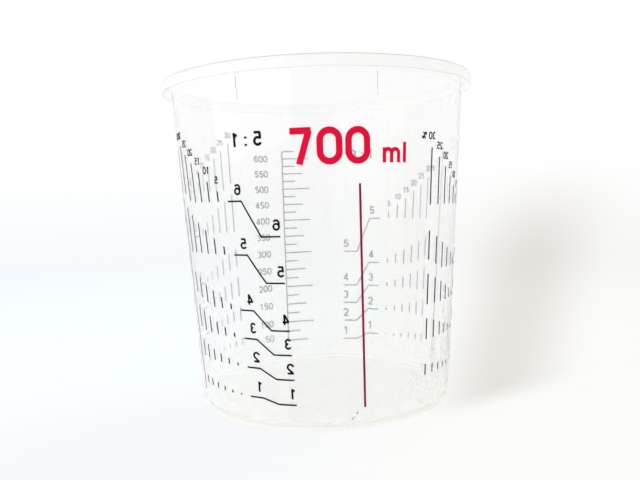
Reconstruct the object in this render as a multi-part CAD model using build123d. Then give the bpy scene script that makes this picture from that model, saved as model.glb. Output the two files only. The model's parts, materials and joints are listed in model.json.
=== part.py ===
from build123d import *
from functools import lru_cache
from math import atan, atan2, cos, degrees, hypot, pi, radians, sin
import os

# A clear resin mixing cup: one moulded cup, with its scales printed on the outside of the wall
# so that they read through it from the inside. Each print is a thin ink film of its own.
# The cup's axis is Z and it stands on Z = 0. A bearing is in degrees, clockwise from the front
# (-Y) as seen from above, which is the way the scales read from inside the cup.

# Cup wall, floor and foot. The taper is how much narrower the wall is at the base than at the top
cup_height = 113.1
wall_taper = 7.4
wall_thickness = 1.0
floor_thickness = 1.1
foot_height = 0.75
foot_width = 1.5
foot_edge_radius = 0.6
floor_corner_radius = 1.2
gate_radius = 1.4
gate_height = 0.35

# Rolled lip around the mouth, and how far it stands out from the wall
rim_radius = 55.0
lip_overhang = 2.9
lip_height = 3.75
lip_thickness = 0.8
lip_top_thickness = 1.0
lip_edge_radius = 0.35
mouth_edge_radius = 0.45

# Ribs under the lip that keep stacked cups from jamming
rib_bearings = (27.7, 72.0, 117.0, 162.0, 207.0, 252.5, 296.5, 339.5)
rib_length = 11.3
rib_thickness = 0.45
rib_depth = 0.5

# Ink films
film_gap = 0.02
film_thickness = 0.06
line_width = 0.5
bar_width = 0.55
divider_width = 0.7

# The cube that holds one millilitre, the height that the print starts at, and the band that the
# scales leave clear below the lip
millilitre_side = 10.0
print_bottom = 7.0
print_margin = 12.85

# Volume scale, in millilitres
tick_step = 25
label_step = 50
long_step = 100
first_tick = 50
last_tick = 625
short_tick = 5.6
middle_tick = 8.8
long_tick = 11.7
volume_bearing = 159.1
volume_lean = 2.6
volume_label_height = 2.8
volume_label_gap = 6.7
first_label_lift = 1.7

# Mixing ratio panels: parts of resin to one of hardener, the bearing that each panel starts at
# on the base, how far it leans by the rim, and how far its rows are printed below their levels
panel_ratios = (5, 4, 3, 2)
panel_bearings = (11.4, 79.6, 190.6, 264.6)
panel_leans = (6.0, 1.5, 3.0, 0.0)
panel_drops = (1.6, 0.25, 0.25, 0.6)
row_volumes = (50, 100, 150, 200, 300, 400)
thinner_shares = (0.05, 0.1, 0.15, 0.2, 0.25, 0.3)
lower_line_turn = 7.2
slant_turn = 6.7
upper_line_turn = 6.0
first_bar_turn = 24.8
bar_turn = 5.12
bar_clearance = 4.6
row_numeral_turn = 1.3
row_numeral_height = 3.3
row_numeral_gap = 1.9
percent_numeral_height = 2.3
percent_numeral_gap = 2.4
heading_numeral_height = 4.2
heading_drop = 21.15
heading_turns = (4.7, 9.3, 13.6)

# Divider lines between the panels: bearing at the base, lean by the rim, and how far below the
# lip each one ends
divider_bearings = (344.7, 251.5, 67.2)
divider_leans = (2.1, 6.0, 8.0)
divider_drops = (33.35, 19.35, 19.35)

# Capacity mark, read from outside: the figure, its unit in smaller letters, and how far below
# the lip their base line is
capacity_figure = "700"
capacity_unit = "ml"
capacity_bearing = 349.2
capacity_drop = 27.35
capacity_figure_height = 10.5
capacity_unit_height = 6.2
capacity_stroke_share = 0.19

# Numerals: strokes of one width, as shares of the numeral's height, about its middle and base line
stroke_share = 0.19
advance_share = 0.8
odd_advance_shares = {" ": 0.5, ":": 0.36, "m": 1.16, "l": 0.34}
line_shares = {
    "0": ((-0.27, 0.34, -0.27, 0.66), (0.27, 0.34, 0.27, 0.66)),
    "1": ((0.06, 0.0, 0.06, 1.0), (0.05, 0.93, -0.18, 0.76)),
    "2": ((0.213, 0.494, -0.25, 0.08), (-0.3, 0.07, 0.3, 0.07)),
    "3": (),
    "4": ((0.12, 0.0, 0.12, 1.0), (0.1, 0.93, -0.26, 0.3), (-0.32, 0.27, 0.32, 0.27)),
    "5": ((-0.24, 0.93, 0.26, 0.93), (-0.18, 0.93, -0.21, 0.47)),
    "6": ((-0.27, 0.34, -0.27, 0.66),),
    "7": ((-0.3, 0.93, 0.3, 0.93), (0.24, 0.93, -0.06, 0.0)),
    "8": (),
    "9": ((0.27, 0.66, 0.27, 0.34),),
    ":": ((0.0, 0.02, 0.0, 0.18), (0.0, 0.54, 0.0, 0.7)),
    "%": ((-0.2, 0.0, 0.2, 1.0),),
    "m": ((-0.4, 0.0, -0.4, 0.72), (0.0, 0.0, 0.0, 0.45), (0.4, 0.0, 0.4, 0.45)),
    "l": ((0.0, 0.0, 0.0, 1.0),),
}
arc_shares = {
    "0": ((0.0, 0.66, 0.27, 0, 180), (0.0, 0.34, 0.27, 180, 180)),
    "2": ((0.0, 0.66, 0.27, -38, 208),),
    "3": ((0.0, 0.71, 0.22, -90, 250), (0.0, 0.295, 0.225, -160, 250)),
    "5": ((0.0, 0.325, 0.255, -155, 300),),
    "6": ((0.0, 0.34, 0.27, 0, 360), (0.0, 0.66, 0.27, 30, 150)),
    "8": ((0.0, 0.71, 0.22, 0, 360), (0.0, 0.31, 0.24, 0, 360)),
    "9": ((0.0, 0.66, 0.27, 0, 360), (0.0, 0.34, 0.27, 210, 150)),
    "%": ((-0.27, 0.76, 0.13, 0, 360), (0.27, 0.24, 0.13, 0, 360)),
    "m": ((-0.2, 0.45, 0.2, 0, 180), (0.2, 0.45, 0.2, 0, 180)),
}

# Worked out from the sizes above
wall_top_radius = rim_radius - lip_overhang
base_radius = wall_top_radius - wall_taper
wall_slope = wall_taper / cup_height
wall_tilt = atan(wall_slope)
floor_top = foot_height + floor_thickness
lip_bottom = cup_height - lip_height
millilitre = millilitre_side**3
print_top = lip_bottom - print_margin


def outer_radius(height):
    """Radius of the wall's outer face."""
    return base_radius + wall_slope * height


def inner_radius(height):
    """Radius of the wall's inner face."""
    return outer_radius(height) - wall_thickness


def fill_height(volume):
    """Height that a volume in millilitres fills the cup to."""
    cube = inner_radius(floor_top) ** 3 + 3 * wall_slope * volume * millilitre / pi
    return (cube ** (1 / 3) - inner_radius(floor_top)) / wall_slope + floor_top


def outward(bearing):
    """Unit vector from the cup's axis towards a bearing."""
    turn = radians(bearing)
    return Vector(-sin(turn), -cos(turn), 0)


def along(bearing):
    """Unit vector along the wall in the reading direction."""
    turn = radians(bearing)
    return Vector(-cos(turn), sin(turn), 0)


def wall_normal(bearing):
    """Unit vector square to the wall's outer face."""
    return outward(bearing) * cos(wall_tilt) - Vector(0, 0, sin(wall_tilt))


def nearest_corners(face, points):
    """The face's vertices that lie nearest to the given points."""
    return [min(face.vertices(), key=lambda v: hypot(v.X - x, v.Z - z)) for x, z in points]


def cup_section():
    """Half section of the cup, from the axis out."""
    foot_inner = base_radius - foot_width
    lip_inner = rim_radius - lip_thickness
    lip_under = cup_height - lip_top_thickness
    base_corner = (base_radius, 0)
    floor_corner = (inner_radius(floor_top), floor_top)
    mouth_corner = (inner_radius(cup_height), cup_height)
    lip_corners = ((rim_radius, cup_height), (rim_radius, lip_bottom))
    points = (
        (0, foot_height),
        (foot_inner, foot_height),
        (foot_inner, 0),
        base_corner,
        (outer_radius(lip_under), lip_under),
        (lip_inner, lip_under),
        (lip_inner, lip_bottom),
        lip_corners[1],
        lip_corners[0],
        mouth_corner,
        floor_corner,
        (0, floor_top),
    )
    section = Plane.XZ * make_face(Polyline(*points, close=True))
    section = fillet(nearest_corners(section, (base_corner,)), foot_edge_radius)
    section = fillet(nearest_corners(section, (floor_corner,)), floor_corner_radius)
    section = fillet(nearest_corners(section, lip_corners), lip_edge_radius)
    return fillet(nearest_corners(section, (mouth_corner,)), mouth_edge_radius)


def stacking_rib(bearing):
    """Rib that stands on the wall, behind the lip's skirt, and runs up into the lip's top."""
    high = cup_height - lip_top_thickness / 2
    low = cup_height - rib_length
    points = (
        (outer_radius(high) - wall_thickness / 2, high),
        (outer_radius(high) + rib_depth, high),
        (outer_radius(low) + rib_depth / 2, low),
        (outer_radius(low) - wall_thickness / 2, low),
    )
    section = Plane.XZ * make_face(Polyline(*points, close=True))
    return Rot(0, 0, -90 - bearing) * extrude(section, rib_thickness / 2, both=True)


def cup_moulding():
    """The whole moulding: wall, floor, foot, lip, ribs and the gate mark under the floor."""
    body = revolve(cup_section(), Axis.Z)
    body += [stacking_rib(bearing) for bearing in rib_bearings]
    gate = Pos(0, 0, foot_height - gate_height) * Cylinder(
        gate_radius, gate_height + floor_thickness / 2, align=(Align.CENTER, Align.CENTER, Align.MIN)
    )
    return body + gate


def straight_stroke(x0, y0, x1, y1, width):
    """Flat bar with square ends, from one point to another."""
    turn = degrees(atan2(y1 - y0, x1 - x0))
    middle = Pos((x0 + x1) / 2, (y0 + y1) / 2)
    return middle * Rot(0, 0, turn) * Rectangle(hypot(x1 - x0, y1 - y0), width)


def curved_stroke(x, y, radius, start, sweep, width):
    """Flat ring, or part of one."""
    if sweep == 360:
        return Pos(x, y) * (Circle(radius + width / 2) - Circle(radius - width / 2))
    outer = CenterArc((x, y), radius + width / 2, start, sweep)
    inner = CenterArc((x, y), radius - width / 2, start, sweep)
    return make_face([outer, Line(outer @ 1, inner @ 1), inner, Line(inner @ 0, outer @ 0)])


def glyph(letter, height, weight=stroke_share):
    """Flat shape of a numeral or letter, centred on x and standing on its base line."""
    width = weight * height
    strokes = [straight_stroke(*[s * height for s in line], width) for line in line_shares[letter]]
    for x, y, radius, start, sweep in arc_shares.get(letter, ()):
        strokes.append(curved_stroke(x * height, y * height, radius * height, start, sweep, width))
    return Sketch() + strokes


@lru_cache(maxsize=None)
def glyph_film(letter, height):
    """A numeral as a flat piece of film. It is small enough to lie flat on the wall."""
    return extrude(glyph(letter, height), film_thickness)


def advance(letter, height):
    """Room that a letter takes along the line."""
    return odd_advance_shares.get(letter, advance_share) * height


def film_place(bearing, height, inside=True):
    """Place on the wall for a flat film that reads from inside the cup, or from outside."""
    normal = wall_normal(bearing)
    foot = outward(bearing) * outer_radius(height) + Vector(0, 0, height)
    if inside:
        return Plane(foot + normal * (film_gap + film_thickness), along(bearing), -normal).location
    return Plane(foot + normal * film_gap, -along(bearing), normal).location


def words(text, bearing, height, size, anchor=0.5):
    """A line of numerals on the wall. The anchor is the share of it that lies before the bearing."""
    length = sum(advance(letter, size) for letter in text)
    reach = -anchor * length
    films = []
    for letter in text:
        room = advance(letter, size)
        middle = bearing + degrees((reach + room / 2) / outer_radius(height))
        if letter != " ":
            films += (film_place(middle, height) * glyph_film(letter, size)).solids()
        reach += room
    return films


def flat_bar(bearing, low, high, lean):
    """Upright bar on the wall, from one height to another, leaning with its panel."""
    shift = lean * (high - low) / cup_height
    run = radians(shift) * outer_radius(low)
    bar = straight_stroke(0, 0, run, (high - low) / cos(wall_tilt), bar_width)
    return (film_place(bearing, low) * extrude(bar, film_thickness)).solids()


def film_shell():
    """The thin layer on the wall that the wide films are cut from."""
    def layer_point(height, offset):
        return (outer_radius(height) + offset * cos(wall_tilt), height - offset * sin(wall_tilt))

    low = print_bottom - divider_width
    high = lip_bottom
    outer = film_gap + film_thickness
    points = (
        layer_point(low, film_gap),
        layer_point(high, film_gap),
        layer_point(high, outer),
        layer_point(low, outer),
    )
    return revolve(Plane.XZ * make_face(Polyline(*points, close=True)), Axis.Z)


shell = film_shell()


def wrapped(face, bearing, inside=True):
    """Film on the wall that looks like the given flat face from straight in front of a bearing."""
    direction = outward(bearing)
    x_dir = along(bearing) if inside else -along(bearing)
    view = Plane((0, 0, 0), x_dir, -direction if inside else direction)
    prism = extrude(view * face, rim_radius, dir=direction)
    return (shell & prism).solids()


def ribbon(points, width):
    """Flat band of even width along a line of points, with mitred corners."""
    sides = []
    for before, (x, y), after in zip(points[:1] + points[:-1], points, points[1:] + points[-1:]):
        into = Vector(x - before[0], y - before[1])
        out = Vector(after[0] - x, after[1] - y)
        into = out if into.length == 0 else into
        out = into if out.length == 0 else out
        middle = into.normalized() + out.normalized()
        normal = Vector(-middle.Y, middle.X).normalized()
        reach = width / 2 / normal.dot(Vector(-into.Y, into.X).normalized())
        sides.append((normal * reach, x, y))
    left = [(x + n.X, y + n.Y) for n, x, y in sides]
    right = [(x - n.X, y - n.Y) for n, x, y in sides]
    return make_face(Polyline(*left, *reversed(right), close=True))


def flat_x(turn, height):
    """How far across a flat view of the wall a point lies, for its turn from the view's middle."""
    return outer_radius(height) * sin(radians(turn))


def volume_scale():
    """Comb of ticks on an upright line, with the volume beside every other tick."""
    def line_turn(height):
        return volume_lean * height / cup_height

    volumes = [v for v in range(first_tick, last_tick + 1, tick_step) if fill_height(v) < print_top]
    levels = [(v, fill_height(v)) for v in volumes]
    heights = [level for _, level in levels]
    upright = [(flat_x(line_turn(h), h), h) for h in (heights[0], heights[-1])]
    comb = Sketch() + ribbon(upright, line_width)
    films = []
    for volume, level in levels:
        length = short_tick if volume % label_step else middle_tick
        length = length if volume % long_step else long_tick
        x = flat_x(line_turn(level), level)
        comb += ribbon([(x, level), (x + length, level)], line_width)
        if volume % label_step == 0:
            edge = volume_bearing + line_turn(level) - degrees(volume_label_gap / outer_radius(level))
            lift = first_label_lift if volume == first_tick else 0
            foot = level + lift - volume_label_height / 2
            films += words(f"{volume:.0f}", edge, foot, volume_label_height, anchor=1)
    return wrapped(comb, volume_bearing) + films


def bar_tops(parts, drop, volume):
    """Level of a row with each share of thinner added to the mix."""
    return [fill_height(volume * (1 + 1 / parts) * (1 + thinner)) - drop for thinner in thinner_shares]


def ratio_row(parts, start, lean, drop, number, volume, bar_floors):
    """One row of a ratio panel: the resin level, the level with hardener, and the thinner bars."""
    def at(turn, height):
        return start + turn + lean * height / cup_height

    resin = fill_height(volume) - drop
    mixed = fill_height(volume * (1 + 1 / parts)) - drop
    upper_start = lower_line_turn + slant_turn
    upper_end = upper_start + upper_line_turn
    middle = at(upper_end / 2, (resin + mixed) / 2)
    corners = ((0, resin), (lower_line_turn, resin), (upper_start, mixed), (upper_end, mixed))
    points = [(flat_x(at(turn, level) - middle, level), level) for turn, level in corners]
    films = wrapped(ribbon(points, line_width), middle)
    for turn, level in ((0, resin), (upper_start, mixed)):
        bearing = at(turn + row_numeral_turn, level)
        films += words(str(number), bearing, level + row_numeral_gap, row_numeral_height)
    for index, (top, bar_floor) in enumerate(zip(bar_tops(parts, drop, volume), bar_floors)):
        low = max(mixed, bar_floor)
        films += flat_bar(at(first_bar_turn + index * bar_turn, low), low, top, lean)
    return films


def ratio_panel(parts, start, lean, drop):
    """All rows of a ratio panel that fit under the top of the print, with its heading and percents."""
    films = []
    bar_floors = [0] * len(thinner_shares)
    rows = [volume for volume in row_volumes if bar_tops(parts, 0, volume)[-1] < print_top]
    for number, volume in enumerate(rows, start=1):
        films += ratio_row(parts, start, lean, drop, number, volume, bar_floors)
        bar_floors = [top + bar_clearance for top in bar_tops(parts, drop, volume)]
    for index, (thinner, top) in enumerate(zip(thinner_shares, bar_tops(parts, drop, rows[-1]))):
        bearing = start + first_bar_turn + index * bar_turn + lean * top / cup_height
        foot = top + percent_numeral_gap
        films += words(f"{thinner * 100:.0f}", bearing, foot, percent_numeral_height)
        if thinner == thinner_shares[-1]:
            sign = bearing + degrees(advance("3", percent_numeral_height) / outer_radius(foot))
            films += words(" %", sign, foot, percent_numeral_height, anchor=0)
    heading = lip_bottom - heading_drop
    shift = lean * heading / cup_height
    for letter, turn in zip(f"{parts}:1", heading_turns):
        films += words(letter, start + turn + shift, heading, heading_numeral_height)
    return films


def divider_line(bearing, lean, drop):
    """Line down the wall between two panels."""
    top = lip_bottom - drop
    middle = bearing + lean * (print_bottom + top) / 2 / cup_height
    points = [(flat_x(bearing + lean * h / cup_height - middle, h), h) for h in (print_bottom, top)]
    return wrapped(ribbon(points, divider_width), middle)


def capacity_mark():
    """Large nominal capacity on the front, read from outside."""
    letters = [(letter, capacity_figure_height) for letter in capacity_figure]
    letters += [(letter, capacity_unit_height) for letter in " " + capacity_unit]
    foot = lip_bottom - capacity_drop
    reach = -sum(advance(letter, size) for letter, size in letters) / 2
    films = []
    for letter, size in letters:
        room = advance(letter, size)
        turn = degrees((reach + room / 2) / outer_radius(foot))
        if letter != " ":
            shape = Pos(0, foot) * glyph(letter, size, capacity_stroke_share)
            films += wrapped(shape, capacity_bearing - turn, inside=False)
        reach += room
    return films


def save(name, solids):
    """Write one node's solids to its own file."""
    export_step(Compound(label=name, children=list(solids)), f"parts/{name}.step")


os.makedirs("parts", exist_ok=True)
save("cup_moulding", cup_moulding().solids())
save("volume_scale_print", volume_scale())
for parts, start, lean, drop in zip(panel_ratios, panel_bearings, panel_leans, panel_drops):
    save(f"ratio_{parts}_to_1_print", ratio_panel(parts, start, lean, drop))
lines = [divider_line(*line) for line in zip(divider_bearings, divider_leans, divider_drops)]
save("divider_lines_print", sum(lines, []))
save("capacity_mark_print", capacity_mark())
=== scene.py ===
import json
from math import cos, pi, radians, sin

import bmesh
import bpy
from bpy.props import FloatProperty, FloatVectorProperty, IntProperty, PointerProperty
from bpy.types import Operator, Panel, PropertyGroup
from mathutils import Matrix, Vector


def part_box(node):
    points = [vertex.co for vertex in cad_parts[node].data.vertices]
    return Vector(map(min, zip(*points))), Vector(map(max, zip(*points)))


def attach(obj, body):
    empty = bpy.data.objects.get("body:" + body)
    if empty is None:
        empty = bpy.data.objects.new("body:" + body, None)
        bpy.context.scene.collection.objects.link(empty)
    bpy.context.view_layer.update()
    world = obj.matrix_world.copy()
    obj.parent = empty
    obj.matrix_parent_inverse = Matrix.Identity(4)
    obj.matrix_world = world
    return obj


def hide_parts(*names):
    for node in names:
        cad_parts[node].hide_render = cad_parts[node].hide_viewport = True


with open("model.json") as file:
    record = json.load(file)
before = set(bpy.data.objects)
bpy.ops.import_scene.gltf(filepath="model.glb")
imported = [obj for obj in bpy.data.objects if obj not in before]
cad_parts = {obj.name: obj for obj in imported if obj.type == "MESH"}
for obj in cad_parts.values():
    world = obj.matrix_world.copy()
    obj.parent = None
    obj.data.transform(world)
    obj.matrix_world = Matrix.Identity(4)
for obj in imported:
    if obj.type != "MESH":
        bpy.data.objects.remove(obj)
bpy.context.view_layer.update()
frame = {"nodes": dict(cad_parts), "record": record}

# A clear mixing cup with its scales printed on the outside of the wall, and a small studio
# around it. Lengths are in metres. A bearing is in degrees, clockwise from the front (-Y) as
# seen from above, which is the way the scales read from inside the cup.

bl_info = {
    "name": "Mixing Cup",
    "version": (1, 0, 0),
    "blender": (4, 5, 0),
    "location": "3D View > Sidebar > Mixing Cup",
    "description": "Clear printed mixing cup, and a pale studio to look at it in",
    "category": "Object",
}

CUP_LOW, CUP_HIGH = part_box("cup_moulding")


def length(name, default, description):
    """Property for a length in metres."""
    return FloatProperty(
        name=name, default=default, description=description, min=0.0, unit="LENGTH", subtype="DISTANCE",
        precision=5,
    )


def share(name, default, description):
    """Property for a share between none and all."""
    return FloatProperty(
        name=name, default=default, description=description, min=0.0, max=1.0, subtype="FACTOR", precision=3
    )


def colour(name, default, description):
    """Property for a colour."""
    return FloatVectorProperty(
        name=name, default=default, description=description, min=0.0, max=1.0, size=3, subtype="COLOR"
    )


class CupSizes(PropertyGroup):
    """Sizes of the moulded cup."""

    height: length("Height", CUP_HIGH.z, "Height of the whole cup")
    rim_radius: length("Rim radius", CUP_HIGH.x, "Radius over the lip")
    lip_overhang: length("Lip overhang", 0.0029, "How far the lip stands out from the wall")
    wall_taper: length("Wall taper", 0.0074, "How much narrower the wall is at the base than at the top")
    wall_thickness: length("Wall thickness", 0.001, "Thickness of the wall")
    floor_thickness: length("Floor thickness", 0.0011, "Thickness of the floor")
    foot_height: length("Foot height", 0.00075, "How far the floor is held off the bench")
    foot_width: length("Foot width", 0.0015, "Width of the ring that the cup stands on")
    foot_rounding: length("Foot rounding", 0.0006, "Rounding outside the foot")
    foot_inner_rounding: length("Inner foot rounding", 0.0002, "Rounding inside the foot")
    floor_rounding: length("Floor rounding", 0.0012, "Rounding where the wall meets the floor")
    gate_radius: length("Gate radius", 0.0014, "Radius of the moulding gate under the floor")
    gate_height: length("Gate height", 0.00035, "How far the gate stands below the floor")
    gate_rounding: length("Gate rounding", 0.00012, "Rounding of the gate")
    lip_height: length("Lip height", 0.00375, "Height of the turned-down lip")
    lip_thickness: length("Lip thickness", 0.0008, "Thickness of the lip's skirt")
    lip_top_thickness: length("Lip top thickness", 0.001, "Thickness of the lip's top")
    lip_rounding: length("Lip rounding", 0.00035, "Rounding of the lip's outer edges")
    lip_root_rounding: length("Lip root rounding", 0.0003, "Rounding inside the lip")
    mouth_rounding: length("Mouth rounding", 0.00045, "Rounding at the mouth")
    rib_length: length("Rib length", 0.0113, "How far the stacking ribs reach below the top")
    rib_thickness: length("Rib thickness", 0.00045, "Thickness of a stacking rib")
    rib_depth: length("Rib depth", 0.0005, "How far a rib stands out from the wall at the lip")
    rib_rounding: length("Rib rounding", 0.00008, "Rounding along a rib's edges")
    turns: IntProperty(name="Turns", default=288, min=48, description="Steps in a full turn of the wall")
    rounding_steps: IntProperty(name="Rounding steps", default=5, min=1, description="Steps in a rounding")


class FinishValues(PropertyGroup):
    """Colours and strengths of the finishes."""

    plastic_tint: colour("Plastic tint", (1.0, 0.986, 0.976), "What the clear plastic lets through")
    plastic_milk: colour("Plastic milk", (0.915, 0.975, 0.98), "Light that the plastic scatters")
    milk_share: share("Milk share", 0.13, "Share of the light that one face of the wall scatters")
    lip_milk: colour("Lip milk", (0.955, 0.955, 0.93), "Light that the thick lip scatters")
    lip_milk_share: share("Lip milk share", 0.6, "Share of the light that the lip scatters")
    # The foot milk colour is the thick foot's own scatter, and also a painted glow: the foot glow share and
    # height lay it low on the wall, fading out upwards, standing for the foot's light seen in the wall.
    foot_milk_and_painted_glow: colour("Foot milk", (0.945, 0.94, 0.875), "Light that the thick foot scatters")
    foot_milk_share: share("Foot milk share", 0.65, "Share of the light that the foot scatters")
    painted_foot_glow_share: share("Foot glow share", 0.18, "Share of the foot's tint low on the wall")
    painted_foot_glow_height: length("Foot glow height", 0.024, "How far up the wall the foot's tint is seen")
    # Painted shade: the edge tone and shares lay thin grey lines along the lip's top and underside and where
    # the floor begins, standing for the darker room seen through the rounded edges.
    edge_shade_tone: colour("Edge tone", (0.5, 0.5, 0.47), "Tone of the thin lines along the moulding's edges")
    edge_shade_share: share("Edge share", 0.6, "Strength of the thin lines along the edges")
    lip_shade_line_share: share("Lip line share", 0.3, "The same for the line under the lip, beside that on top")
    floor_shade_line_share: share("Floor line share", 0.1, "The same for the line where the floor begins")
    plastic_index: FloatProperty(
        name="Plastic index", default=1.42, min=1.0, description="Index of refraction of the plastic"
    )
    plastic_shade: share("Plastic shade", 0.975, "Light that one face lets through to the bench")
    plastic_roughness: share("Plastic roughness", 0.035, "Roughness of the moulded faces")
    smudge_place: FloatVectorProperty(
        name="Smudge place", default=(0.0344, -0.029, 0.0108), size=3, subtype="TRANSLATION", unit="LENGTH",
        description="Middle of the smudged patch low on the wall",
    )
    smudge_reach: length("Smudge reach", 0.02, "How far the smudges reach from their middle")
    smudge: colour("Smudge", (0.7, 0.69, 0.66), "Colour of the smudges")
    smudge_share: share("Smudge share", 0.4, "Cover of the smudges")
    smear: colour("Smear", (0.72, 0.36, 0.42), "Colour of the faint smear of red ink")
    smear_share: share("Smear share", 0.45, "Cover of the smear")
    black_ink: colour("Black ink", (0.002, 0.002, 0.003), "Colour of the black print")
    red_ink: colour("Red ink", (0.65, 0.001, 0.034), "Colour of the red print")
    deep_red_ink: colour("Deep red ink", (0.24, 0.005, 0.045), "Colour of the red lines")
    deep_red_height: length("Deep red height", 0.0765, "Height that the red is deeper below")
    ink_gloss: share("Ink gloss", 0.04, "Strength of the shine on the print")
    thin_ink_share: share("Thin ink share", 0.35, "Cover of the red ink where it is thin, far left")
    thin_ink_start: length("Thin ink start", 0.036, "How far left the red ink starts to get thin")
    thin_ink_end: length("Thin ink end", 0.044, "How far left the red ink is thinnest")
    ink_roughness: share("Ink roughness", 0.42, "Roughness of the print")


class StudioValues(PropertyGroup):
    """The camera, the lamps and the floor."""

    camera_place: FloatVectorProperty(
        name="Camera place", default=(0.0, -0.2457, 0.0726), size=3, subtype="TRANSLATION", unit="LENGTH",
        description="Where the camera stands",
    )
    camera_pitch: FloatProperty(
        name="Pitch", default=radians(-3.77), subtype="ANGLE", description="Tilt of the camera above level"
    )
    camera_roll: FloatProperty(
        name="Roll", default=radians(-1.91), subtype="ANGLE", description="Turn of the camera about its view"
    )
    camera_yaw: FloatProperty(
        name="Yaw", default=radians(-0.13), subtype="ANGLE", description="Turn of the camera to the right"
    )
    lens: FloatProperty(name="Lens", default=37.39, min=1.0, description="Focal length in millimetres")
    floor_radius: length("Floor radius", 6.0, "Radius of the floor")
    floor_drop: length("Floor drop", 0.00004, "How far the floor lies below the foot")
    cool_paper: colour("Cool paper", (0.88, 0.895, 0.915), "Tone of the nearest floor at the left")
    warm_paper: colour("Warm paper", (0.925, 0.925, 0.91), "Tone of the nearest floor at the right")
    cool_tone: colour("Cool tone", (0.91, 0.95, 0.985), "Tone of the backdrop at the left")
    warm_tone: colour("Warm tone", (0.92, 0.92, 0.905), "Tone of the backdrop at the right")
    # Painted shadow: the dusk tone, place and width paint the cup's soft shadow on the bench and backdrop as
    # a dark streak at the right of the room's tone.
    painted_shadow_tone: colour("Dusk tone", (0.77, 0.742, 0.7), "Tone of the soft dark streak at the right")
    painted_shadow_place: FloatProperty(name="Dusk place", default=0.33, description="How far right the streak is")
    painted_shadow_width: FloatProperty(
        name="Dusk width", default=0.11, min=0.0, description="Half width of the streak"
    )
    far_tone: colour("Far tone", (0.92, 0.92, 0.92), "Tone of the room in front of the cup and above it")
    world_level: FloatProperty(
        name="World level", default=1.13, min=0.0, description="Light from all round"
    )
    key_power: FloatProperty(
        name="Key power", default=12.0, min=0.0, description="Power of the key lamp in watts"
    )
    key_size: length("Key size", 2.2, "Width of the key lamp")
    key_place: FloatVectorProperty(
        name="Key place", default=(-1.2, -0.95, 0.6), size=3, subtype="TRANSLATION", unit="LENGTH",
        description="Where the key lamp hangs",
    )


# Shader sums

class Wire:
    """One output of a node. Arithmetic on it adds Math nodes."""

    def __init__(self, graph, socket):
        self.graph = graph
        self.socket = socket

    def __add__(self, other):
        return self.graph.math("ADD", self, other)

    def __radd__(self, other):
        return self.graph.math("ADD", other, self)

    def __sub__(self, other):
        return self.graph.math("SUBTRACT", self, other)

    def __rsub__(self, other):
        return self.graph.math("SUBTRACT", other, self)

    def __mul__(self, other):
        return self.graph.math("MULTIPLY", self, other)

    def __rmul__(self, other):
        return self.graph.math("MULTIPLY", other, self)


class Graph:
    """The node tree of a finish while it is put together."""

    def __init__(self, tree):
        self.tree = tree
        tree.nodes.clear()

    def node(self, kind, settings=None, inputs=None, output=0):
        """Add a node, set it up, wire its inputs, and give one of its outputs."""
        node = self.tree.nodes.new("ShaderNode" + kind)
        for name, value in (settings or {}).items():
            setattr(node, name, value)
        for key, value in (inputs or {}).items():
            if isinstance(value, Wire):
                self.tree.links.new(value.socket, node.inputs[key])
            else:
                node.inputs[key].default_value = value
        return Wire(self, node.outputs[output])

    def math(self, operation, *values):
        """A Math node's result."""
        return self.node("Math", {"operation": operation}, dict(enumerate(values)))

    def clamped(self, value, low, high):
        """How far a value has come from low to high, smoothed, from none to one."""
        inputs = {"Value": value, "From Min": low, "From Max": high}
        return self.node("MapRange", {"interpolation_type": "SMOOTHSTEP"}, inputs)

    def mixed(self, factor, first, second):
        """One colour turning into another."""
        settings = {"data_type": "RGBA"}
        return self.node("Mix", settings, {0: factor, 6: first, 7: second}, output=2)

    def parts(self, vector):
        """The three parts of a vector."""
        node = self.node("SeparateXYZ", None, {"Vector": vector}).socket.node
        return [Wire(self, output) for output in node.outputs]

    def distance(self, place, point):
        """How far a place is from a point."""
        inputs = {0: place, 1: tuple(point)}
        return self.node("VectorMath", {"operation": "DISTANCE"}, inputs, output="Value")

    def noise(self, place, scale, detail=2.0, roughness=0.5):
        """Cloudy pattern, about half on average."""
        return self.node(
            "TexNoise", None, {"Vector": place, "Scale": scale, "Detail": detail, "Roughness": roughness}
        )

    def shaders(self, factor, first, second):
        """One shader turning into another."""
        return self.node("MixShader", None, {0: factor, 1: first, 2: second})

    def finish(self, kind, shader):
        """Send the shader to the output of a material or of the world."""
        node = self.tree.nodes.new("ShaderNodeOutput" + kind)
        self.tree.links.new(shader.socket, node.inputs["Surface"])


def rgba(values):
    """A colour property as a socket wants it."""
    return (*values, 1.0)


def new_finish(name):
    """An empty material and its graph."""
    material = bpy.data.materials.new(name)
    material.use_nodes = True
    return material, Graph(material.node_tree)


# Sizes of the patterns in the plastic, as noise scales, and how much the flow marks are drawn out
CLOUD_SCALE = 45.0
GRAIN_SCALE = 900.0
FLOW_SCALE = 70.0
FLOW_STRETCH = 0.08
SMUDGE_SCALE = 300.0

# Sizes of the patterns in the ink
PATCH_SCALE = 700.0
INK_GRAIN_SCALE = 6000.0

# Stray flecks of red ink: angle from the front in degrees, height and size
FLECKS = (
    (10.0, 0.0036, 0.0005), (10.9, 0.0041, 0.0004), (11.9, 0.0053, 0.0005), (12.4, 0.0057, 0.0004)
)

# A faint smear of red ink, in the same way
SMEAR = (53.0, 0.0222, 0.0046)


def wall_radius(cup, height):
    """Radius of the wall's outer face."""
    return cup.rim_radius - cup.lip_overhang - cup.wall_taper * (1 - height / cup.height)


def wall_point(cup, angle, height):
    """Point on the wall's outer face. The angle is from the front, counterclockwise from above."""
    radius = wall_radius(cup, height)
    return (radius * sin(angle), -radius * cos(angle), height)


def milky(graph, tint):
    """Shader for light scattered in the plastic, forwards as much as back."""
    return graph.shaders(
        0.5,
        graph.node("BsdfDiffuse", None, {"Color": rgba(tint)}),
        graph.node("BsdfTranslucent", None, {"Color": rgba(tint)}),
    )


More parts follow.
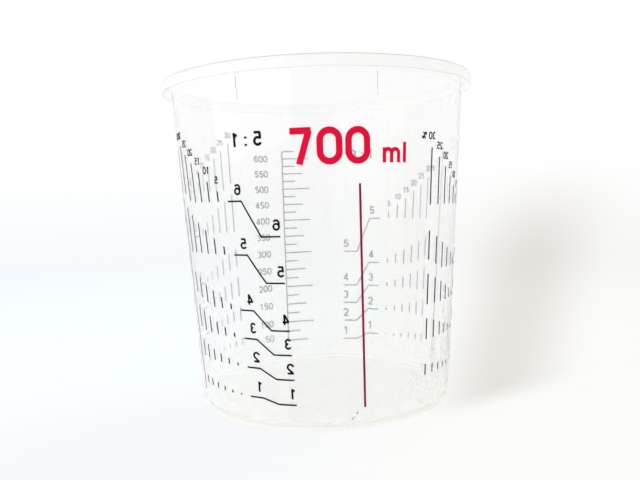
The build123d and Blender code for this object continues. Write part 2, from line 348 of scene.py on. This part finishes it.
def thick_places(graph, radius, z, values, cup):
    """Shares of milk at the foot and the lip, with a painted glow low on the wall, and the painted shade
    lines along their edges.
    """
    floor_top = cup.foot_height + cup.floor_thickness
    foot_inner = wall_radius(cup, 0.0) - cup.foot_width
    lip_bottom = cup.height - cup.lip_height
    blur = 0.5 * cup.lip_rounding
    foot = graph.clamped(z, 1.6 * floor_top, 1.2 * floor_top)
    foot = foot * graph.clamped(radius, foot_inner, foot_inner + blur)
    # Painted glow: the foot's milk laid low on the wall, fading out upwards.
    glow = values.painted_foot_glow_share * graph.clamped(z, values.painted_foot_glow_height, 0.0)
    foot_milk_and_painted_glow = graph.math("MAXIMUM", values.foot_milk_share * foot, glow)
    lip_milk = values.lip_milk_share * graph.clamped(z, lip_bottom - blur, lip_bottom + blur)
    # Painted shade: thin grey lines on the lip's top edge and under the lip, and where the floor begins.
    top_shade_line = graph.clamped(z, cup.height - cup.lip_rounding - blur, cup.height - blur)
    low_shade_line = values.lip_shade_line_share * graph.clamped(z, lip_bottom + 2.0 * blur, lip_bottom + blur)
    at_skirt = graph.clamped(radius, cup.rim_radius - 3.0 * blur, cup.rim_radius - 2.0 * blur)
    lip_shade_lines = graph.math("MAXIMUM", top_shade_line, low_shade_line) * at_skirt
    wall_side = wall_radius(cup, floor_top)
    floor_shade_line = graph.clamped(graph.math("ABSOLUTE", z - floor_top), 2.0 * blur, blur)
    floor_shade_line = values.floor_shade_line_share * floor_shade_line
    floor_shade_line = floor_shade_line * graph.clamped(radius, wall_side - 3.0 * blur, wall_side - 2.0 * blur)
    return foot_milk_and_painted_glow, lip_milk, values.edge_shade_share * graph.math("MAXIMUM", lip_shade_lines, floor_shade_line)


def clear_plastic(values, cup):
    """Natural polypropylene: clear, a little milky, glossy, with the faint unevenness of a moulding.

    The thick lip and foot scatter more, the wall has faint upright flow marks, and low on it there
    are smudges and a few flecks of stray red ink.
    """
    material, graph = new_finish("clear_plastic")
    place = graph.node("TexCoord", output="Object")
    x, y, z = graph.parts(place)
    clouds = graph.noise(place, CLOUD_SCALE, 3.0)
    grain = graph.noise(place, GRAIN_SCALE)
    upright = graph.node("CombineXYZ", None, {0: x, 1: y, 2: FLOW_STRETCH * z})
    flow = graph.clamped(graph.noise(upright, FLOW_SCALE), 0.35, 0.7)
    radius = graph.math("SQRT", x * x + y * y)
    bump = graph.node("Bump", None, {"Strength": 0.05, "Distance": 0.0002, "Height": clouds + 0.1 * grain})
    clear = graph.node("BsdfPrincipled", None, {
        "Base Color": rgba(values.plastic_tint),
        "Roughness": values.plastic_roughness + 0.01 * clouds,
        "IOR": values.plastic_index,
        "Transmission Weight": 1.0,
        "Normal": bump,
    })
    milk_share = values.milk_share * (0.75 + 0.3 * clouds + 0.35 * flow)
    foot_milk_and_painted_glow, lip_milk, painted_edge_shade = thick_places(graph, radius, z, values, cup)
    seen = graph.shaders(milk_share, clear, milky(graph, values.plastic_milk))
    # The foot's real milk, together with the painted glow low on the wall.
    seen = graph.shaders(foot_milk_and_painted_glow, seen, milky(graph, values.foot_milk_and_painted_glow))
    seen = graph.shaders(lip_milk, seen, milky(graph, values.lip_milk))
    # Painted shade along the lip's edges and where the floor begins.
    seen = graph.shaders(painted_edge_shade, seen, milky(graph, values.edge_shade_tone))
    specks = graph.clamped(graph.noise(place, SMUDGE_SCALE, 3.0, 0.6), 0.48, 0.72)
    smudged = graph.clamped(graph.distance(place, values.smudge_place), values.smudge_reach, 0.0) * specks
    smudge = graph.node("BsdfDiffuse", None, {"Color": rgba(values.smudge)})
    seen = graph.shaders(values.smudge_share * smudged, seen, smudge)
    smear_angle, smear_height, smear_size = SMEAR
    smear_middle = wall_point(cup, radians(smear_angle), smear_height)
    smeared = graph.clamped(graph.distance(place, smear_middle), smear_size, 0.0) * specks
    smear = graph.node("BsdfDiffuse", None, {"Color": rgba(values.smear)})
    seen = graph.shaders(values.smear_share * smeared, seen, smear)
    fleck = 0.0
    for angle, height, size in FLECKS:
        reach = graph.distance(place, wall_point(cup, radians(angle), height)) + 0.0003 * grain
        fleck = graph.math("MAXIMUM", fleck, graph.clamped(reach, size, 0.7 * size))
    stray_ink = graph.node("BsdfDiffuse", None, {"Color": rgba(values.deep_red_ink)})
    seen = graph.shaders(fleck, seen, stray_ink)
    shadow_rays = graph.node("LightPath", output="Is Shadow Ray")
    diffuse_rays = graph.node("LightPath", output="Is Diffuse Ray")
    shade = graph.node("BsdfTransparent", None, {"Color": rgba((values.plastic_shade,) * 3)})
    graph.finish("Material", graph.shaders(graph.math("MAXIMUM", shadow_rays, diffuse_rays), seen, shade))
    return material


def ink(name, pigment, deep, thin, values):
    """Screen-printed ink: satin, not quite even, with a fine grain, and thin at the far left."""
    material, graph = new_finish(name)
    place = graph.node("TexCoord", output="Object")
    patches = graph.noise(place, PATCH_SCALE, 3.0)
    grain = graph.noise(place, INK_GRAIN_SCALE)
    paler = [channel + 0.005 for channel in pigment]
    x, _, z = graph.parts(place)
    low = graph.clamped(z, values.deep_red_height + 0.001, values.deep_red_height)
    tone = graph.mixed(patches, rgba(pigment), rgba(paler))
    graph.finish("Material", graph.node("BsdfPrincipled", None, {
        "Base Color": graph.mixed(low, tone, rgba(deep)),
        "Specular IOR Level": values.ink_gloss,
        "Roughness": values.ink_roughness + 0.12 * patches,
        "Alpha": 1.0 - thin * graph.clamped(x, -values.thin_ink_start, -values.thin_ink_end),
        "Normal": graph.node("Bump", None, {"Strength": 0.2, "Distance": 0.00002, "Height": grain}),
    }))
    return material


# Meshes

def new_piece(name, bm, material):
    """Object made from a bmesh, shaded smooth but for its sharp edges."""
    mesh = bpy.data.meshes.new(name)
    bm.to_mesh(mesh)
    bm.free()
    mesh.shade_smooth()
    mesh.set_sharp_from_angle(angle=radians(35))
    mesh.materials.append(material)
    piece = bpy.data.objects.new(name, mesh)
    bpy.context.scene.collection.objects.link(piece)
    return piece


def rounded_face(corners, steps):
    """Flat face in the X-Z plane with rounded corners, as a bmesh. Corners are x, z and rounding."""
    bm = bmesh.new()
    verts = [bm.verts.new((x, 0.0, z)) for x, z, _ in corners]
    bm.faces.new(verts)
    for vert, (_, _, rounding) in zip(verts, corners):
        if rounding:
            bmesh.ops.bevel(
                bm, geom=[vert], offset=rounding, offset_type="OFFSET", segments=steps, profile=0.5,
                affect="VERTICES", material=-1,
            )
    return bm


def cup_section(cup):
    """Corners of the cup's half section, from the axis out, as radius, height and rounding."""
    floor_top = cup.foot_height + cup.floor_thickness
    foot_inner = wall_radius(cup, 0.0) - cup.foot_width
    gate_bottom = cup.foot_height - cup.gate_height
    lip_inner = cup.rim_radius - cup.lip_thickness
    lip_under = cup.height - cup.lip_top_thickness
    lip_bottom = cup.height - cup.lip_height
    return (
        (0.0, gate_bottom, 0.0),
        (cup.gate_radius, gate_bottom, cup.gate_rounding),
        (cup.gate_radius, cup.foot_height, 0.0),
        (foot_inner, cup.foot_height, cup.foot_inner_rounding),
        (foot_inner, 0.0, cup.foot_inner_rounding),
        (wall_radius(cup, 0.0), 0.0, cup.foot_rounding),
        (wall_radius(cup, lip_under), lip_under, cup.lip_root_rounding),
        (lip_inner, lip_under, cup.lip_root_rounding),
        (lip_inner, lip_bottom, 0.5 * cup.lip_rounding),
        (cup.rim_radius, lip_bottom, cup.lip_rounding),
        (cup.rim_radius, cup.height, cup.lip_rounding),
        (wall_radius(cup, cup.height) - cup.wall_thickness, cup.height, cup.mouth_rounding),
        (wall_radius(cup, floor_top) - cup.wall_thickness, floor_top, cup.floor_rounding),
        (0.0, floor_top, 0.0),
    )


def turned_body(cup):
    """Wall, floor, foot and lip, turned about the axis from their half section."""
    bm = rounded_face(cup_section(cup), cup.rounding_steps)
    bmesh.ops.delete(bm, geom=list(bm.faces), context="FACES_ONLY")
    axis_edges = [edge for edge in bm.edges if max(vert.co.x for vert in edge.verts) < 1e-9]
    bmesh.ops.delete(bm, geom=axis_edges, context="EDGES")
    bmesh.ops.spin(
        bm, geom=list(bm.verts) + list(bm.edges), cent=(0, 0, 0), axis=(0, 0, 1), angle=2 * pi,
        steps=cup.turns, use_merge=True,
    )
    bmesh.ops.remove_doubles(bm, verts=bm.verts, dist=1e-7)
    bmesh.ops.recalc_face_normals(bm, faces=bm.faces)
    return bm


def stacking_rib(cup, bearing):
    """Rib that stands on the wall, behind the lip's skirt, and runs up into the lip's top."""
    high = cup.height - 0.5 * cup.lip_top_thickness
    low = cup.height - cup.rib_length
    bm = rounded_face(
        (
            (wall_radius(cup, high) - 0.5 * cup.wall_thickness, high, 0.0),
            (wall_radius(cup, high) + cup.rib_depth, high, 0.0),
            (wall_radius(cup, low) + 0.5 * cup.rib_depth, low, 0.0),
            (wall_radius(cup, low) - 0.5 * cup.wall_thickness, low, 0.0),
        ),
        cup.rounding_steps,
    )
    extruded = bmesh.ops.extrude_face_region(bm, geom=list(bm.faces))["geom"]
    moved = [item for item in extruded if isinstance(item, bmesh.types.BMVert)]
    bmesh.ops.translate(bm, verts=moved, vec=(0.0, cup.rib_thickness, 0.0))
    bmesh.ops.translate(bm, verts=bm.verts, vec=(0.0, -0.5 * cup.rib_thickness, 0.0))
    bmesh.ops.recalc_face_normals(bm, faces=bm.faces)
    bmesh.ops.bevel(
        bm, geom=list(bm.edges), offset=cup.rib_rounding, segments=2, profile=0.5, affect="EDGES",
        material=-1,
    )
    bmesh.ops.rotate(
        bm, verts=bm.verts, cent=(0, 0, 0), matrix=Matrix.Rotation(radians(-90 - bearing), 3, "Z")
    )
    return bm


def joined(bodies):
    """Several bmeshes as one."""
    whole = bmesh.new()
    for bm in bodies:
        mesh = bpy.data.meshes.new("part")
        bm.to_mesh(mesh)
        bm.free()
        whole.from_mesh(mesh)
        bpy.data.meshes.remove(mesh)
    return whole


RIB_BEARINGS = (27.7, 72.0, 117.0, 162.0, 207.0, 252.5, 296.5, 339.5)


class CUP_OT_moulding(Operator):
    """Model the moulded cup with its foot, lip and stacking ribs"""

    bl_idname = "mixing_cup.moulding"
    bl_label = "Moulded cup"

    def execute(self, context):
        cup = context.scene.cup_sizes
        plastic = clear_plastic(context.scene.cup_finishes, cup)
        body = new_piece("clear_cup", turned_body(cup), plastic)
        ribs = new_piece("ribs", joined([stacking_rib(cup, bearing) for bearing in RIB_BEARINGS]), plastic)
        union = body.modifiers.new("ribs", "BOOLEAN")
        union.operation = "UNION"
        union.solver = "EXACT"
        union.object = ribs
        graph = context.evaluated_depsgraph_get()
        mesh = bpy.data.meshes.new_from_object(body.evaluated_get(graph))
        body.modifiers.clear()
        body.data = mesh
        bpy.data.objects.remove(ribs)
        mesh.shade_smooth()
        mesh.set_sharp_from_angle(angle=radians(35))
        normals = body.modifiers.new("flat_faces", "WEIGHTED_NORMAL")
        normals.mode = "FACE_AREA"
        normals.weight = 100
        normals.keep_sharp = True
        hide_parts("cup_moulding")
        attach(body, "root")
        return {"FINISHED"}


class CUP_OT_prints(Operator):
    """Give the printed scales their inks"""

    bl_idname = "mixing_cup.prints"
    bl_label = "Printed scales"

    def execute(self, context):
        values = context.scene.cup_finishes
        thin = 1.0 - values.thin_ink_share
        inks = {
            "black_ink": ink("black_ink", values.black_ink, values.black_ink, 0.0, values),
            "red_ink": ink("red_ink", values.red_ink, values.deep_red_ink, thin, values),
        }
        for subpart in frame["record"]["subparts"]:
            slot = subpart.get("material_slot")
            if slot in inks:
                node = frame["nodes"][subpart["node"]]
                node.data.materials.clear()
                node.data.materials.append(inks[slot])
        return {"FINISHED"}


# Studio

# Where the room's tones change, as the rightward, forward and upward parts of a direction from
# the camera's place. The painted shadow, a dark streak standing for the cup's soft shadow on the bench and
# backdrop, leans, and its lower edge rises to the right
SIDE_EDGES = (-0.25, 0.2)
NEAREST_EDGES = (-0.24, -0.34)
WHITE_EDGES = (0.06, -0.12)
PAINTED_SHADOW_TOP_EDGES = (0.05, -0.12)
PAINTED_SHADOW_LOW_EDGES = (-0.378, -0.348)
PAINTED_SHADOW_LEAN = 0.3
FRONT_EDGES = (0.3, -0.9)
ABOVE_EDGES = (0.35, 0.95)

# How far from the cup the floor goes over into the room's tone, and how much of it does at the cup
FLOOR_EDGES = (0.12, 0.6)
FLOOR_SHARE = 0.65


def room_tone(graph, direction, studio):
    """Pale tone of the room in a direction from the camera's place.

    White high up, tinted on the backdrop and the floor, with a painted shadow at the right, a soft dark
    streak standing for the cup's shadow on the bench and backdrop, and a little grey in front of the cup and
    above it.
    """
    x, y, z = graph.parts(direction)
    side = graph.clamped(x, *SIDE_EDGES)
    backdrop = graph.mixed(side, rgba(studio.cool_tone), rgba(studio.warm_tone))
    nearest = graph.mixed(side, rgba(studio.cool_paper), rgba(studio.warm_paper))
    tone = graph.mixed(graph.clamped(z, *NEAREST_EDGES), backdrop, nearest)
    tone = graph.mixed(graph.clamped(z, *WHITE_EDGES), rgba((1.0, 1.0, 1.0)), tone)
    # Painted shadow: a soft dark streak at the right, standing for the cup's shadow on the bench and
    # backdrop.
    across = graph.math("ABSOLUTE", x - (studio.painted_shadow_place + PAINTED_SHADOW_LEAN * z))
    painted_shadow = graph.clamped(across, studio.painted_shadow_width, 0.0) * graph.clamped(z, *PAINTED_SHADOW_TOP_EDGES)
    painted_shadow = painted_shadow * graph.clamped(z - PAINTED_SHADOW_LEAN * x, *PAINTED_SHADOW_LOW_EDGES)
    tone = graph.mixed(painted_shadow, tone, rgba(studio.painted_shadow_tone))
    turned = graph.clamped(y, *FRONT_EDGES) + graph.clamped(z, *ABOVE_EDGES)
    return graph.mixed(graph.math("MINIMUM", turned, 1.0), tone, rgba(studio.far_tone))


def rays_seen(graph):
    """One for rays that show the room: straight, mirrored or through the plastic."""
    kinds = ("Camera", "Glossy", "Transmission")
    rays = [graph.node("LightPath", output=f"Is {kind} Ray") for kind in kinds]
    return graph.math("MAXIMUM", graph.math("MAXIMUM", rays[0], rays[1]), rays[2])


def floor_finish(studio):
    """Matt pale floor that goes over into the room's tone away from the cup."""
    material, graph = new_finish("floor")
    place = graph.node("TexCoord", output="Object")
    stand = tuple(studio.camera_place)
    away = graph.node("VectorMath", {"operation": "SUBTRACT"}, {0: place, 1: stand})
    direction = graph.node("VectorMath", {"operation": "NORMALIZE"}, {0: away})
    tone = room_tone(graph, direction, studio)
    far = graph.clamped(graph.distance(place, (0.0, 0.0, 0.0)), *FLOOR_EDGES)
    spread = FLOOR_SHARE + (1.0 - FLOOR_SHARE) * far
    paper = graph.node("BsdfPrincipled", None, {
        "Base Color": tone,
        "Roughness": 1.0,
        "Specular IOR Level": 0.0,
    })
    glow = graph.node("Emission", None, {"Color": tone})
    graph.finish("Material", graph.shaders(rays_seen(graph) * spread, paper, glow))
    return material


def light_room(scene):
    """Soft light from all round, in the room's tone."""
    world = bpy.data.worlds.new("room")
    world.use_nodes = True
    graph = Graph(world.node_tree)
    tone = room_tone(graph, graph.node("TexCoord", output="Generated"), scene.cup_studio)
    level = scene.cup_studio.world_level
    strength = level + (1.0 - level) * rays_seen(graph)
    graph.finish("World", graph.node("Background", None, {"Color": tone, "Strength": strength}))
    scene.world = world


def lay_floor(studio):
    """Round floor under the cup."""
    bm = bmesh.new()
    bmesh.ops.create_circle(bm, cap_ends=True, segments=128, radius=studio.floor_radius)
    bmesh.ops.translate(bm, verts=bm.verts, vec=(0.0, 0.0, -studio.floor_drop))
    new_piece("floor", bm, floor_finish(studio))


def hang_lamp(name, place, size, power):
    """Square soft lamp that looks at the cup."""
    lamp = bpy.data.lights.new(name, "AREA")
    lamp.shape = "SQUARE"
    lamp.size = size
    lamp.energy = power
    holder = bpy.data.objects.new(name, lamp)
    holder.location = place
    target = Vector((0.0, 0.0, 0.5 * CUP_HIGH.z))
    holder.rotation_euler = (target - holder.location).to_track_quat("-Z", "Y").to_euler()
    bpy.context.scene.collection.objects.link(holder)


def set_camera(scene):
    """Camera at the place and angle that the cup is looked at from."""
    studio = scene.cup_studio
    lens = bpy.data.cameras.new("camera")
    lens.lens = studio.lens
    lens.sensor_width = 36.0
    lens.clip_start = 0.01
    pitch, roll, yaw = studio.camera_pitch, studio.camera_roll, studio.camera_yaw
    forward = Vector((sin(yaw) * cos(pitch), cos(yaw) * cos(pitch), sin(pitch)))
    right = Vector((cos(yaw), -sin(yaw), 0.0))
    up = right.cross(forward)
    rolled_right = cos(roll) * right + sin(roll) * up
    rolled_up = cos(roll) * up - sin(roll) * right
    camera = bpy.data.objects.new("camera", lens)
    turn = Matrix((rolled_right, rolled_up, -forward)).transposed()
    camera.matrix_world = Matrix.Translation(studio.camera_place) @ turn.to_4x4()
    scene.collection.objects.link(camera)
    scene.camera = camera


class CUP_OT_studio(Operator):
    """Set up the floor, the light and the camera"""

    bl_idname = "mixing_cup.studio"
    bl_label = "Studio"

    def execute(self, context):
        scene = context.scene
        studio = scene.cup_studio
        scene.view_settings.view_transform = "Standard"
        lay_floor(studio)
        light_room(scene)
        hang_lamp("key_lamp", studio.key_place, studio.key_size, studio.key_power)
        set_camera(scene)
        return {"FINISHED"}


class CUP_PT_panel(Panel):
    """Sizes, finishes and buttons"""

    bl_idname = "CUP_PT_panel"
    bl_label = "Mixing Cup"
    bl_space_type = "VIEW_3D"
    bl_region_type = "UI"
    bl_category = "Mixing Cup"

    def draw(self, context):
        for group in (context.scene.cup_sizes, context.scene.cup_finishes, context.scene.cup_studio):
            box = self.layout.box()
            for name in group.bl_rna.properties.keys():
                if name not in ("rna_type", "name"):
                    box.prop(group, name)
        for step in STEPS:
            self.layout.operator(step.bl_idname)


STEPS = (CUP_OT_moulding, CUP_OT_prints, CUP_OT_studio)
GROUPS = {"cup_sizes": CupSizes, "cup_finishes": FinishValues, "cup_studio": StudioValues}


def register():
    """Register the classes and hang the property groups on the scene."""
    for cls in (*GROUPS.values(), *STEPS, CUP_PT_panel):
        bpy.utils.register_class(cls)
    for name, group in GROUPS.items():
        setattr(bpy.types.Scene, name, PointerProperty(type=group))


def unregister():
    """Undo register."""
    for name in GROUPS:
        delattr(bpy.types.Scene, name)
    for cls in (CUP_PT_panel, *reversed(STEPS), *GROUPS.values()):
        bpy.utils.unregister_class(cls)


def main():
    """Build the whole scene."""
    register()
    bpy.ops.mixing_cup.moulding()
    bpy.ops.mixing_cup.prints()
    bpy.ops.mixing_cup.studio()


if __name__ == "__main__":
    main()
